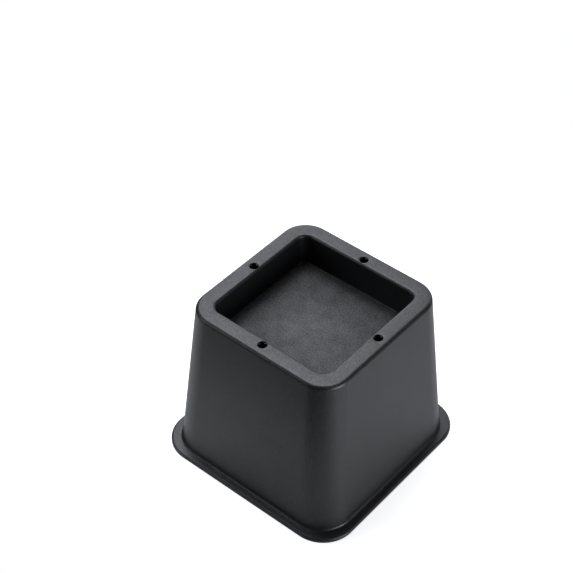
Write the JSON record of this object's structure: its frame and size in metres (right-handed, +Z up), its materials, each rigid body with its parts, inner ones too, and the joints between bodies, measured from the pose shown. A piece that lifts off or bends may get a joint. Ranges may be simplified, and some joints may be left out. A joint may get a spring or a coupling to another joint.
{
  "type": "bed riser",
  "caption": "Square tapered bed riser of moulded black plastic: hollow body on a foot flange, with a square leg recess in its top and fixing holes in the rim.",
  "frame": {"origin": "middle of the base, on the floor plane", "axes": "+Z up along the riser's axis; X and Y square to its sides"},
  "size_m": [0.154, 0.154, 0.127],
  "materials": {
    "black_plastic": "satin black with a fine moulded grain"
  },
  "bodies": {
    "root": {"riser": "black_plastic"}
  },
  "joints": []
}
